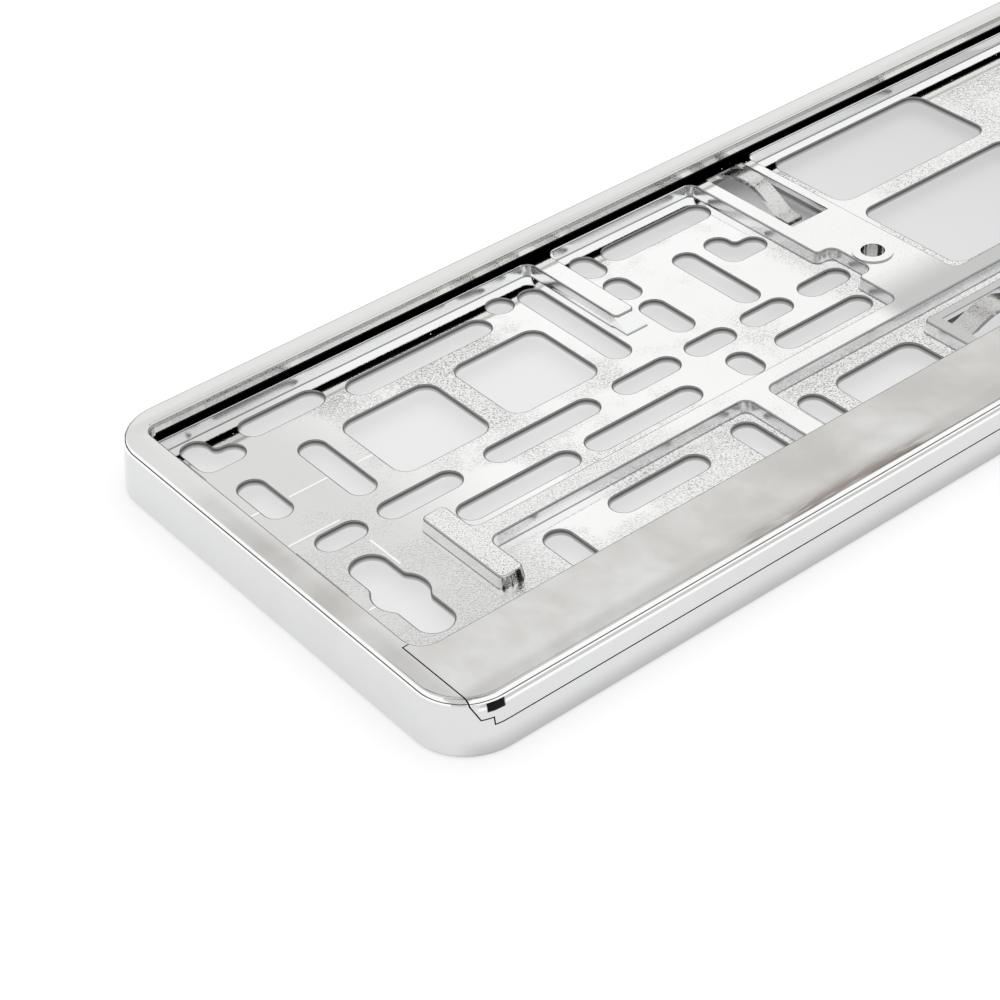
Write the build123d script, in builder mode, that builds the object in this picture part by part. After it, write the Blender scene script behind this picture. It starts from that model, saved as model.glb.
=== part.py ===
from build123d import *
from math import radians, tan
import os

# A car's number plate holder, lying on its back: X along the plate, Y up the plate, Z out of the bumper.
# All sizes are millimetres.

# Plate that the holder is made for
plate_length = 520.0
plate_height = 110.0
plate_clearance = 0.5

# Rim: distance from the plate's edge to the foot of the skirt, and how far the lip reaches over the plate
side_margin = 7.0
top_margin = 4.8
bottom_margin = 19.2
side_overlap = 1.5
top_overlap = 3.2
strip_overlap = 3.2
corner_radius = 14.0
skirt_draft = 6.5
rim_edge_radius = 1.5
foot_edge_radius = 1.0
lip_edge_radius = 0.7
upper_opening_radius = 3.5
lower_opening_radius = 5.0
pocket_corner_radius = 2.0

# Levels above the back
depth = 14.0
lip_thickness = 3.3
plate_slot = 1.9
bar_height = 3.1
floor_thickness = 1.6
wall = 1.6
skirt_wall = 2.4

# Floor and the bars that carry the plate
side_ledge = 2.9
top_ledge = 4.1
bottom_ledge = 2.3
bar_draft = 10.0
bar_edge_radius = 0.4
bar_corner_radius = 2.0
core_wall = 2.0
rib_from_end = 109.1
rib_width = 7.0
rib_length = 33.6
rib_ramp = 4.0
cross_bar_drop = 73.0
cross_bar_width = 6.2
hook_bar_from_end = 28.2
hook_bar_width = 7.3
hook_bar_drop = 62.3
hook_bar_length = 29.3
platform_from_end = 162.8
platform_width = 20.4
notch_depth = 4.9
notch_drop = 46.6
notch_length = 13.0
low_platform_from_end = 160.6
low_platform_width = 42.0
low_platform_gap = 4.4
pad_reach = 2.4
pads = ((7.1, 12.5), (53.6, 20.5))

# Screw slots in the left half, mirrored to the right.
# Slots along X: start from the end of the floor, overall length.
slot_width = 6.6
wide_slot_width = 7.2
slot_edge_radius = 0.4
upper_row_drop = 52.95
upper_row = ((8.2, 12.2), (25.0, 21.7), (54.8, 31.9), (92.7, 18.6), (115.0, 13.8), (132.9, 14.4), (151.6, 14.6))
lower_row_drop = 65.25
lower_row = ((37.5, 33.1), (74.0, 33.0), (132.6, 29.0))
# Wide slots along X under the top wall: start, overall length, drop of the centre line.
top_slots = ((19.5, 22.6, 6.0), (47.3, 41.4, 10.0), (127.9, 33.7, 7.4))
# Slots along Y: centre line from the end of the floor, drop of the upper end, overall length.
upright_slots = (
    (9.45, 22.1, 16.6),
    (28.1, 19.3, 25.3),
    (103.6, 5.1, 38.5),
    (121.85, 2.7, 10.4),
    (121.85, 15.9, 10.4),
    (121.85, 29.3, 16.3),
    (121.85, 60.3, 9.8),
    (141.6, 19.1, 28.1),
)
# Slots below the cross bar: along Y to the strip (centre line, gap to the bar), and one along X.
low_upright_slots = ((48.3, 3.65), (103.95, 2.4), (122.25, 4.9))
low_slot_start = 63.5
low_slot_length = 27.1
low_slot_gap = 6.8
low_end_gap = 3.5
# Angle slots: left edge, drop of the lower edge, reach along Y, reach along X.
angle_slots = ((4.6, 14.1, 13.0, 12.1), (148.6, 31.7, 12.4, 13.0))
angle_radius = 1.8
# Keyhole, and the single round hole.
keyhole_from_end = 12.4
keyhole_drop = 61.7
keyhole_length = 31.4
keyhole_width = 8.6
keyhole_eye_drop = 77.1
keyhole_eye_radius = 6.3
keyhole_waist_radius = 2.5
round_hole_from_end = 95.3
round_hole_drop = 6.1
round_hole_radius = 3.35

# Windows
window_radius = 4.0
small_window_width = 26.0
small_window_height = 25.6
small_window_drop = 19.1
small_windows = (37.3, 69.6)
low_window_start = 130.6
low_window_width = 25.7
low_window_gap = 5.1
centre_web = 33.0
centre_window_gap = 4.8
upper_window_drop = 3.1
upper_window_height = 26.9
middle_window_drop = 36.2
middle_window_height = 33.8

# Fine raised lines on the floor: start from the end, drop, length along X, length along Y.
line_width = 0.5
line_height = 0.25
floor_lines = (
    (3.4, 33.9, 2.2, line_width),
    (13.6, 33.9, 10.6, line_width),
    (32.2, 33.9, 4.4, line_width),
    (3.4, 48.3, 13.8, line_width),
    (17.7, 64.1, line_width, 11.0),
    (3.9, 77.5, 1.6, line_width),
)

# Spring tongues that press on the plate
tongue_thickness = 1.2
tongue_width = 4.6
tongue_window_width = 12.4
tongue_window_length = 32.0
tongue_line = 10.8
tongue_root_drop = 33.0
low_tongue_width = 6.0
low_tongue_inset = 4.0
low_tongue_drop = 9.2
tongue_end_gap = 5.4
tongue_root_hold = 1.5
tongue_root_sink = 1.0
tongue_shoulder = 1.6
tongue_crest = 2.7
tongue_dip = 2.85
tongue_tip_lift = 0.15

# Screw bosses in the two platforms
boss_drop = 54.8
boss_hole_radius = 3.0
boss_radius = 5.1
boss_lift = 0.4

# Retaining strip
strip_gap = 0.3
strip_end_inset = 7.0
strip_end_slant = 1.6
strip_slant_height = 12.6
strip_wall = 2.0
seam_height = 7.0
horn_length = 2.8
step_width = 3.8
stop_width = 1.6
stop_height = 1.4
stop_end_inset = 12.0
prong_count = 8
prong_spacing = 62.0
prong_length = 12.0
prong_thickness = 2.0
prong_from_stop = 7.0
prong_reach = 4.2

# Worked out from the sizes above
length = plate_length + 2 * side_margin
width = plate_height + top_margin + bottom_margin
plate_top = width / 2 - top_margin
plate_bottom = plate_top - plate_height
opening_x = plate_length / 2 - side_overlap
opening_top = plate_top - top_overlap
opening_bottom = plate_bottom + strip_overlap
pocket_x = plate_length / 2 + plate_clearance
pocket_top = plate_top + plate_clearance
pocket_bottom = plate_bottom - plate_clearance
lip_level = depth - lip_thickness
seat_level = lip_level - plate_slot
floor_level = seat_level - bar_height
floor_back = floor_level - floor_thickness
seat_back = seat_level - wall
field_x = plate_length / 2 - side_ledge
field_top = plate_top - top_ledge
field_bottom = plate_bottom + bottom_ledge
strip_x = length / 2 - strip_end_inset
strip_top = opening_bottom + horn_length
strip_inside = -width / 2 + strip_wall + seam_height * tan(radians(skirt_draft))
ledge_face = strip_inside + strip_gap
stop_face = pocket_bottom
prong_y = stop_face - stop_width - prong_from_stop
cross_bar_top = field_top - cross_bar_drop
cross_bar_bottom = cross_bar_top - cross_bar_width
platform_left = -field_x + platform_from_end
tongue_x = platform_left + tongue_line
tongue_window_bottom = field_top - tongue_root_drop
tongue_root = tongue_window_bottom + tongue_window_length
low_platform_left = -field_x + low_platform_from_end
low_platform_top = cross_bar_bottom - low_platform_gap
low_tongue_y = low_platform_top - low_tongue_drop
low_tongue_root = low_platform_left + low_tongue_inset
over = 1.0


def block(x0, x1, y0, y1, mode=Mode.ADD):
    """Add a rectangle between two corners to the sketch that is open."""
    with Locations(((x0 + x1) / 2, (y0 + y1) / 2)):
        Rectangle(abs(x1 - x0), abs(y1 - y0), mode=mode)


def along_x(start, size, drop, slot=slot_width):
    """Add a slot along X, measured from the left end and the top wall of the floor."""
    with Locations((-field_x + start + size / 2, field_top - drop)):
        SlotOverall(max(size, 1.2 * slot), slot)


def along_y(centre, drop, size, slot=slot_width):
    """Add a slot along Y by its centre line, its upper end and its length."""
    with Locations((-field_x + centre, field_top - drop - size / 2)):
        SlotOverall(max(size, 1.2 * slot), slot, rotation=90)


def window(x0, x1, y0, y1):
    """Add a window with rounded corners between two corners."""
    with Locations(((x0 + x1) / 2, (y0 + y1) / 2)):
        RectangleRounded(abs(x1 - x0), abs(y1 - y0), window_radius)


def strip_front(gap, bottom):
    """Add the strip seen from the front, with ends that slant in below the rim, to the open sketch."""
    slant = strip_end_slant * (strip_slant_height - bottom) / (strip_slant_height - seat_level)
    end = strip_x + gap
    low_end = end - slant
    top = depth + over
    Polygon(
        (-low_end, bottom), (low_end, bottom), (end, strip_slant_height),
        (end, top), (-end, top), (-end, strip_slant_height), align=None,
    )


# Outside of holder and strip before they are parted: skirt, rim and the opening that shows the plate
with BuildPart() as shell:
    with BuildSketch(Plane.XY):
        RectangleRounded(length, width, corner_radius)
    extrude(amount=depth, taper=skirt_draft)
    fillet(shell.faces().sort_by(Axis.Z)[-1].edges(), radius=rim_edge_radius)
    fillet(shell.faces().sort_by(Axis.Z)[0].edges(), radius=foot_edge_radius)
    with BuildSketch(Plane.XY.offset(seat_level)) as opening:
        block(-opening_x, opening_x, opening_bottom, opening_top)
        fillet(opening.vertices().group_by(Axis.Y)[-1], radius=upper_opening_radius)
        fillet(opening.vertices().group_by(Axis.Y)[0], radius=lower_opening_radius)
    extrude(amount=depth - seat_level, mode=Mode.SUBTRACT)
    fillet(shell.edges(Select.LAST).group_by(Axis.Z)[-1], radius=lip_edge_radius)

# Floor between the bars: the field less every raised bar, with drafted walls
with BuildPart() as pockets:
    with BuildSketch(Plane.XY.offset(floor_level)) as field:
        block(-field_x, field_x, field_bottom, field_top)
        with BuildSketch(Plane.XY.offset(floor_level), mode=Mode.SUBTRACT) as bars:
            rib_left = -field_x + rib_from_end
            hook_left = -field_x + hook_bar_from_end
            hook_top = field_top - hook_bar_drop
            notch_top = field_top - notch_drop
            low_right = low_platform_left + low_platform_width
            block(rib_left, rib_left + rib_width, field_top - rib_length, field_top + over)
            block(rib_left, rib_left + rib_width, field_bottom - over, cross_bar_top)
            block(hook_left, hook_left + hook_bar_width, hook_top - hook_bar_length, hook_top)
            block(platform_left, platform_left + platform_width, cross_bar_bottom, field_top + over)
            block(platform_left, platform_left + notch_depth, notch_top - notch_length, notch_top, Mode.SUBTRACT)
            block(low_platform_left, low_right, field_bottom - over, low_platform_top)
            for pad_drop, pad_length in pads:
                pad_top = field_top - pad_drop
                block(-field_x - over, -field_x + pad_reach, pad_top - pad_length, pad_top)
            block(hook_left, 0, cross_bar_bottom, cross_bar_top)
            mirror(about=Plane.YZ)
        pad_line = field_x - pad_reach - over
        pad_corners = [corner for corner in field.vertices() if abs(corner.X) > pad_line]
        fillet(pad_corners, radius=0.42 * pad_reach)
        bar_corners = [corner for corner in field.vertices() if abs(corner.X) < pad_line]
        fillet(bar_corners, radius=bar_corner_radius)
    extrude(amount=bar_height, taper=-bar_draft)

# Slots, holes and windows of the floor, left half and its mirror image
with BuildSketch() as floor_cuts:
    for start, size in upper_row:
        along_x(start, size, upper_row_drop)
    for start, size in lower_row:
        along_x(start, size, lower_row_drop)
    for start, size, drop in top_slots:
        along_x(start, size, drop, wide_slot_width)
    for centre, drop, size in upright_slots:
        along_y(centre, drop, size)
    low_top_drop = field_top - cross_bar_bottom
    for centre, gap in low_upright_slots:
        along_y(centre, low_top_drop + gap, cross_bar_bottom - gap - field_bottom - low_end_gap)
    along_x(low_slot_start, low_slot_length, low_top_drop + low_slot_gap)
    for start, drop, reach_y, reach_x in angle_slots:
        along_y(start + slot_width / 2, drop - reach_y, reach_y)
        along_x(start, reach_x, drop - slot_width / 2)
        bend_x = -field_x + start + slot_width
        bend_y = field_top - drop + slot_width
        block(bend_x, bend_x + angle_radius, bend_y, bend_y + angle_radius)
        with Locations((bend_x + angle_radius, bend_y + angle_radius)):
            Circle(angle_radius, mode=Mode.SUBTRACT)
    with BuildSketch() as keyhole:
        along_y(keyhole_from_end, keyhole_drop, keyhole_length, keyhole_width)
        eye_y = field_top - keyhole_eye_drop
        with Locations((-field_x + keyhole_from_end, eye_y)):
            Circle(keyhole_eye_radius)
        waist = [corner for corner in keyhole.vertices() if abs(corner.Y - eye_y) < keyhole_eye_radius]
        fillet(waist, radius=keyhole_waist_radius)
    with Locations((-field_x + round_hole_from_end, field_top - round_hole_drop)):
        Circle(round_hole_radius)
    for start in small_windows:
        left = -field_x + start
        top = field_top - small_window_drop
        window(left, left + small_window_width, top - small_window_height, top)
    low_window_left = -field_x + low_window_start
    low_window_bottom = field_bottom + low_end_gap
    window(low_window_left, low_window_left + low_window_width, low_window_bottom, cross_bar_bottom - low_window_gap)
    for drop, size in ((upper_window_drop, upper_window_height), (middle_window_drop, middle_window_height)):
        left = platform_left + platform_width + centre_window_gap
        window(left, -centre_web / 2, field_top - drop - size, field_top - drop)
    mirror(about=Plane.YZ)

# Spring tongues: a leaf that rises from its root over the seat and dips below it at its free end
with BuildPart() as tongues:
    tongue_reach = tongue_window_length - tongue_end_gap
    leaf_top = (
        (-tongue_root_hold, seat_level - tongue_root_sink),
        (0.17 * tongue_reach, seat_level + tongue_shoulder),
        (0.41 * tongue_reach, seat_level + tongue_crest),
        (0.7 * tongue_reach, seat_level - tongue_tip_lift),
        (0.91 * tongue_reach, seat_level - tongue_dip),
        (tongue_reach, seat_level - tongue_dip + tongue_tip_lift),
    )
    upright = Plane.YZ.offset(tongue_x)
    sideways = Plane.XZ.offset(-low_tongue_y)
    for plane, root, way, leaf_width in (
        (upright, tongue_root, -1, tongue_width),
        (sideways, low_tongue_root, 1, low_tongue_width),
    ):
        with BuildSketch(plane):
            with BuildLine():
                upper = Spline([(root + way * run, height) for run, height in leaf_top])
                lower = Spline([(root + way * run, height - tongue_thickness) for run, height in leaf_top])
                Line(upper @ 0, lower @ 0)
                Line(upper @ 1, lower @ 1)
            make_face()
        extrude(amount=leaf_width / 2, both=True)
    mirror(about=Plane.YZ)

# Prongs of the strip and the holes that take them
prong_middle = (prong_count - 1) / 2
prong_places = [((index - prong_middle) * prong_spacing, prong_y) for index in range(prong_count)]

with BuildPart() as base:
    add(shell.part)
    # Slot for the plate under the lip
    with BuildSketch(Plane.XY.offset(seat_level)) as plate_pocket:
        block(-pocket_x, pocket_x, pocket_bottom, pocket_top)
        fillet(plate_pocket.vertices(), radius=pocket_corner_radius)
    extrude(amount=plate_slot, mode=Mode.SUBTRACT)
    # Room for the strip, and the ledge that its front wall sits on
    with BuildSketch(Plane.XZ.offset(-strip_top - strip_gap)):
        strip_front(strip_gap, seat_level)
    extrude(amount=strip_top + strip_gap + width, mode=Mode.SUBTRACT)
    with BuildSketch(Plane.XY.offset(seam_height)):
        block(-strip_x + step_width, strip_x - step_width, -width, ledge_face)
    extrude(amount=depth, mode=Mode.SUBTRACT)
    # Floor pockets, with the bars' upper edges rounded
    add(pockets.part, mode=Mode.SUBTRACT)
    seat_edges = base.edges(Select.LAST).filter_by_position(Axis.Z, seat_level - 0.01, seat_level + 0.01)
    fillet(seat_edges, radius=bar_edge_radius)
    # Floor slots and windows, with rounded upper edges
    with BuildSketch(Plane.XY):
        add(floor_cuts.sketch)
    extrude(amount=floor_level, mode=Mode.SUBTRACT)
    slot_edges = base.edges(Select.LAST).filter_by_position(Axis.Z, floor_level - 0.01, floor_level + 0.01)
    fillet(slot_edges, radius=slot_edge_radius)
    # Hollow back, with the bars and the ledge round the floor cored out
    with BuildSketch(Plane.XY):
        RectangleRounded(length - 2 * skirt_wall, width - 2 * skirt_wall, corner_radius - skirt_wall)
    extrude(amount=floor_back, mode=Mode.SUBTRACT)
    with BuildSketch(Plane.XY) as core:
        RectangleRounded(length - 2 * skirt_wall, width - 2 * skirt_wall, corner_radius - skirt_wall)
        block(-length, length, -width, ledge_face + wall, Mode.SUBTRACT)
        offset(field.sketch_local, amount=core_wall, mode=Mode.SUBTRACT)
    extrude(amount=seat_back, mode=Mode.SUBTRACT)
    # Stop for the plate's lower edge
    with BuildSketch(Plane.XY.offset(seat_level)):
        stop_x = strip_x - stop_end_inset
        block(-stop_x, stop_x, stop_face - stop_width, stop_face)
    extrude(amount=stop_height)
    # Holes for the strip's prongs, and the windows round the tongues
    with BuildSketch(Plane.XY):
        with Locations(prong_places):
            Rectangle(prong_length + 2 * strip_gap, prong_thickness + 2 * strip_gap)
        for side in (-1, 1):
            with Locations((-side * tongue_x, tongue_root - tongue_window_length / 2)):
                Rectangle(tongue_window_width, tongue_window_length)
            with Locations((side * (low_tongue_root + tongue_window_length / 2), low_tongue_y)):
                Rectangle(tongue_window_length, tongue_window_width)
    extrude(amount=seat_level + over, mode=Mode.SUBTRACT)
    add(tongues.part)
    # Screw bosses, with a raised ring round the hole
    boss_places = [(side * tongue_x, field_top - boss_drop) for side in (-1, 1)]
    with BuildSketch(Plane.XY):
        with Locations(boss_places):
            Circle(boss_radius)
    extrude(amount=seat_level + boss_lift)
    with BuildSketch(Plane.XY):
        with Locations(boss_places):
            Circle(boss_hole_radius)
    extrude(amount=depth, mode=Mode.SUBTRACT)
    # Ramp at the free end of each upper rib
    rib_end = field_top - rib_length
    for side in (-1, 1):
        with BuildSketch(Plane.YZ.offset(side * (field_x - rib_from_end - rib_width / 2))):
            with BuildLine():
                Polyline((rib_end - rib_ramp, floor_level), (rib_end + over, floor_level),
                         (rib_end + over, seat_level - bar_edge_radius), (rib_end - rib_ramp, floor_level))
            make_face()
        extrude(amount=rib_width / 2 - bar_edge_radius, both=True)
    # Fine raised lines
    with BuildSketch(Plane.XY.offset(floor_level)):
        for start, drop, size_x, size_y in floor_lines:
            with Locations((-field_x + start + size_x / 2, field_top - drop)):
                Rectangle(size_x, size_y)
        mirror(about=Plane.YZ)
    extrude(amount=line_height)

with BuildPart() as strip:
    add(shell.part)
    with BuildSketch(Plane.XZ.offset(-strip_top)):
        strip_front(0, seam_height + strip_gap)
    extrude(amount=strip_top + width, mode=Mode.INTERSECT)
    # Steps at the lower ends of the front wall
    with BuildSketch(Plane.XY):
        for side in (-1, 1):
            block(side * (strip_x - step_width - strip_gap), side * length, -width, width)
    extrude(amount=seat_level + strip_gap, mode=Mode.SUBTRACT)
    # Nothing behind the front wall reaches below the seat
    with BuildSketch(Plane.XY):
        block(-length, length, strip_inside, width)
    extrude(amount=seat_level + strip_gap, mode=Mode.SUBTRACT)
    # Hollow behind the front wall, and room for the plate's edge under the lip
    with BuildSketch(Plane.XY):
        hollow_x = strip_x - strip_end_slant - strip_wall
        block(-hollow_x, hollow_x, strip_inside, opening_bottom - strip_wall)
    extrude(amount=depth - strip_wall, mode=Mode.SUBTRACT)
    with BuildSketch(Plane.XY):
        block(-length, length, stop_face - stop_width, width)
    extrude(amount=lip_level, mode=Mode.SUBTRACT)
    # Prongs that grip in the base
    with BuildSketch(Plane.XY.offset(seat_level - prong_reach)):
        with Locations(prong_places):
            Rectangle(prong_length, prong_thickness)
    extrude(amount=depth - strip_wall / 2 - seat_level + prong_reach)

os.makedirs("parts", exist_ok=True)
base.part.label = "base_frame"
strip.part.label = "retaining_strip"
export_step(base.part, "parts/base_frame.step")
export_step(strip.part, "parts/retaining_strip.step")
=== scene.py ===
import logging
import math
from dataclasses import dataclass, field
from enum import Enum
from functools import partial, reduce
from typing import ClassVar

import bmesh
import bpy
import numpy as np
from bpy.types import Material, Mesh, Node, NodeOutputs, NodeTree, Object
from mathutils import Matrix, Vector


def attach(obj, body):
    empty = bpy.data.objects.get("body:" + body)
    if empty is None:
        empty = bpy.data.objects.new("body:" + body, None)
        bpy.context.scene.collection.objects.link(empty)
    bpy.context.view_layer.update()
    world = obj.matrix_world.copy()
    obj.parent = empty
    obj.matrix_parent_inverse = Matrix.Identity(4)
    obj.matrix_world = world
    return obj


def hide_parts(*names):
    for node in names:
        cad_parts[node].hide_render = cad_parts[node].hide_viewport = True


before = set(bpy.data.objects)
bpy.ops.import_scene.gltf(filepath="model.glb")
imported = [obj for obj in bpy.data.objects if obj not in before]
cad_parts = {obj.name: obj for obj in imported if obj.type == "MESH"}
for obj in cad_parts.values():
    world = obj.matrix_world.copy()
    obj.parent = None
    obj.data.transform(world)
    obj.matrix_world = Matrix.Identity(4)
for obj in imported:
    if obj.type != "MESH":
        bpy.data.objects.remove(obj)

LOG = logging.getLogger("plate_holder")
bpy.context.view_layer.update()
MM = 0.001
Socket = bpy.types.NodeSocket
Pair = tuple[float, float]
Triple = tuple[float, float, float]
Stretch = tuple[float, float, float, float]
Kinds = ClassVar[dict[str, str]]


def mm(*lengths: float) -> tuple[float, ...]:
    """Turn millimetres into metres."""
    return tuple(length * MM for length in lengths)


BORE_PLACE = mm(83.5, 3.3)
STRIP_FRONT = mm(-64.0, -64.6)


class Plating(Enum):
    """Finishes of the mouldings, in the order of their material slots."""

    OUTER = 0
    INNER = 1
    GRAINED = 2
    TEXTURED = 3
    BACK = 4
    EDGE = 5
    SKIRT = 6
    SPRING = 7
    POLISHED_HIGHLIGHT = 8
    STREAKED = 9


class Level(Enum):
    """Heights, in metres above the back, of the flat faces that carry the grain."""

    FLOOR = 5.7 * MM
    SEAT = 8.8 * MM
    BOSS = 9.2 * MM


class NodeSheet:
    """A node tree that is being filled, with short ways to add and join nodes."""

    def __init__(self, tree: NodeTree) -> None:
        """Start on a tree, which is emptied first."""
        self.tree = tree
        self.tree.nodes.clear()

    def add(self, kind: str, sources: dict | None = None, **settings: object) -> Node:
        """Add a node.

        Args:
            kind: The node's type name.
            sources: What feeds its inputs, each named or numbered.
            settings: Values for the node's own properties.

        Returns:
            The new node.
        """
        node = self.tree.nodes.new(kind)
        for name, value in settings.items():
            setattr(node, name, value)
        for name, source in (sources or {}).items():
            self.feed(node.inputs[name], source)
        return node

    def feed(self, socket: Socket, source: object) -> None:
        """Join an output to a socket, or set the socket's own value.

        Args:
            socket: The input socket.
            source: An output socket, or a plain value.
        """
        if isinstance(source, Socket):
            self.tree.links.new(source, socket)
        else:
            socket.default_value = source

    def maths(self, operation: str, *values: object) -> Socket:
        """Add a Math node on outputs or numbers, and give its result."""
        return self.add("ShaderNodeMath", dict(enumerate(values)), operation=operation).outputs[0]

    def times(self, *values: object) -> Socket:
        """Multiply outputs and numbers, and give their product."""
        return reduce(partial(self.maths, "MULTIPLY"), values)

    def ramp(
        self, value: object, low: float, high: float, to_low: float = 0.0, to_high: float = 1.0
    ) -> Socket:
        """Add a smooth Map Range node.

        Args:
            value: The value to map.
            low: Where the change starts.
            high: Where the change ends.
            to_low: The result before the change.
            to_high: The result after the change.

        Returns:
            The mapped value.
        """
        sources = dict(enumerate((value, low, high, to_low, to_high)))
        return self.add("ShaderNodeMapRange", sources, interpolation_type="SMOOTHSTEP").outputs[0]

    def noise(self, vector: object, scale: float, detail: float, twist: float) -> Socket:
        """Add a noise texture.

        Args:
            vector: The coordinates.
            scale: Waves per metre.
            detail: Octaves.
            twist: How far the waves are bent into wisps.

        Returns:
            The noise value from 0 to 1.
        """
        sources = {"Vector": vector, "Scale": scale, "Detail": detail, "Distortion": twist}
        return self.add("ShaderNodeTexNoise", sources).outputs["Fac"]

    def streaks(self, vector: object, stretch: Triple, noise: Triple) -> Socket:
        """Add a noise texture that is drawn out into streaks.

        Args:
            vector: The coordinates.
            stretch: What each axis is multiplied by; a small number draws the noise out.
            noise: The noise's scale, detail and twist.

        Returns:
            The noise value from 0 to 1.
        """
        drawn = self.add("ShaderNodeMapping", {"Scale": stretch, "Vector": vector})
        return self.noise(drawn.outputs["Vector"], *noise)

    def span(self, value: object, near: float, full: float, fading: float, far: float) -> Socket:
        """Mask a stretch with soft ends.

        Args:
            value: The value to mask.
            near: Where the stretch starts.
            full: Where it is complete.
            fading: Where it starts to end.
            far: Where it has ended.

        Returns:
            1 inside the stretch, and 0 outside.
        """
        return self.times(self.ramp(value, near, full), self.ramp(value, fading, far, 1.0, 0.0))

    def between(self, value: object, low: float, high: float) -> Socket:
        """Mask the values between two limits, with sharp ends."""
        return self.times(self.maths("GREATER_THAN", value, low), self.maths("LESS_THAN", value, high))

    def split(self, vector: object) -> tuple[Socket, ...]:
        """Part a vector into X, Y and Z."""
        return tuple(self.add("ShaderNodeSeparateXYZ", {0: vector}).outputs)

    def blend(self, share: object, first: object, second: object) -> Socket:
        """Blend two colours: the first at a share of 0, and the second at 1."""
        return self.add("ShaderNodeMix", {0: share, 6: first, 7: second}, data_type="RGBA").outputs[2]

    def tint(self, share: object, color: object, tone: Triple) -> Socket:
        """Blend a share of a plain tone into a colour."""
        return self.blend(share, color, (*tone, 1.0))

    def place(self, group: NodeTree, **sources: object) -> NodeOutputs:
        """Place a node group, feed its named inputs and give its outputs."""
        return self.add("ShaderNodeGroup", sources, node_tree=group).outputs

    def coordinates(self) -> Socket:
        """Give the object coordinates."""
        return self.add("ShaderNodeTexCoord").outputs["Object"]

    def surface(self, source: Socket) -> None:
        """Make a shader's output the surface of the material."""
        self.add("ShaderNodeOutputMaterial", {"Surface": source})


def new_material(name: str) -> tuple[Material, NodeSheet]:
    """Start a material.

    Args:
        name: The material's name.

    Returns:
        The material, and the sheet that fills it.
    """
    material = bpy.data.materials.new(name)
    material.use_nodes = True
    return material, NodeSheet(material.node_tree)


def add_sockets(tree: NodeTree, takes: dict[str, str], gives: dict[str, str]) -> None:
    """Give a node group its inputs and outputs.

    Args:
        tree: The group.
        takes: The kind of each named input, such as Float or Color.
        gives: The kind of each named output.
    """
    for way, sockets in (("INPUT", takes), ("OUTPUT", gives)):
        for name, kind in sockets.items():
            tree.interface.new_socket(name, in_out=way, socket_type=f"NodeSocket{kind}")


def read(
    items: bpy.types.bpy_prop_collection, name: str, width: int = 1, kind: type = float
) -> np.ndarray:
    """Read one property of many mesh elements.

    Args:
        items: The elements.
        name: The property's name.
        width: How many numbers each element has.
        kind: The numbers' type.

    Returns:
        One number for each element, or one row where there are more.
    """
    values = np.empty(len(items) * width, kind)
    items.foreach_get(name, values)
    return values.reshape(-1, width) if width > 1 else values


def new_object(name: str, data: bpy.types.ID) -> Object:
    """Make an object and link it to the scene.

    Args:
        name: The object's name.
        data: Its mesh, light or camera.

    Returns:
        The new object.
    """
    made = bpy.data.objects.new(name, data)
    bpy.context.scene.collection.objects.link(made)
    return made


def bake(piece: Object) -> None:
    """Give a piece the mesh that its modifiers make, and take them off.

    Args:
        piece: The piece to bake.
    """
    graph = bpy.context.evaluated_depsgraph_get()
    baked = bpy.data.meshes.new_from_object(piece.evaluated_get(graph))
    piece.modifiers.clear()
    piece.data = baked


class SharedEffect:
    """A shader effect that the finishes share as one node group."""

    name: str
    takes: Kinds
    gives: Kinds

    def group(self) -> NodeTree:
        """Make the node group once, and give it back afterwards.

        Returns:
            The node group.
        """
        if self.name in bpy.data.node_groups:
            return bpy.data.node_groups[self.name]
        tree = bpy.data.node_groups.new(self.name, "ShaderNodeTree")
        add_sockets(tree, self.takes, self.gives)
        sheet = NodeSheet(tree)
        source = sheet.add("NodeGroupInput").outputs
        sheet.add("NodeGroupOutput", self.fill(sheet, source))
        return tree

    def fill(self, sheet: NodeSheet, source: NodeOutputs) -> dict[str, Socket]:
        """Add the effect's own nodes to the sheet, and give the group's outputs by name."""
        raise NotImplementedError


@dataclass(frozen=True)
class CloudyFilm(SharedEffect):
    """Cloudy film, thicker where the strip is handled and thinner on the upper half."""

    takes: Kinds = {"Vector": "Vector", "Clean": "Color", "Smudged": "Color", "Amount": "Float"}
    gives: Kinds = {"Color": "Color", "Cloud": "Float"}
    name: str = "cloudy_film"
    cloud_noise: Triple = (26.0, 6.0, 0.5)
    wisp_noise: Triple = (120.0, 6.0, 0.5)
    wisp_share: float = 0.3
    cloud_range: Pair = (0.45, 0.95)
    handled: Stretch = mm(0.0, 80.0, 50.0, 190.0)
    handled_gain: float = 0.35
    upper_half: Pair = mm(20.0, 50.0)
    upper_loss: float = -0.38

    def fill(self, sheet: NodeSheet, source: NodeOutputs) -> dict[str, Socket]:
        """Add the film's nodes.

        Args:
            sheet: The group's node sheet.
            source: What the group takes.

        Returns:
            The film's colour and its thickness.
        """
        vector = source["Vector"]
        broad = sheet.noise(vector, *self.cloud_noise)
        wisps = sheet.noise(vector, *self.wisp_noise)
        both = sheet.maths("MULTIPLY_ADD", wisps, self.wisp_share, broad)
        x, y = sheet.split(vector)[:2]
        touched = sheet.span(sheet.maths("ABSOLUTE", x), *self.handled)
        handled = sheet.times(touched, self.handled_gain, sheet.ramp(y, *self.upper_half, 1.0, 0.0))
        handled = sheet.maths("ADD", handled, sheet.ramp(y, *self.upper_half, 0.0, self.upper_loss))
        cloud = sheet.ramp(sheet.maths("ADD", both, handled), *self.cloud_range)
        share = sheet.times(cloud, source["Amount"])
        return {"Color": sheet.blend(share, source["Clean"], source["Smudged"]), "Cloud": cloud}


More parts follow.
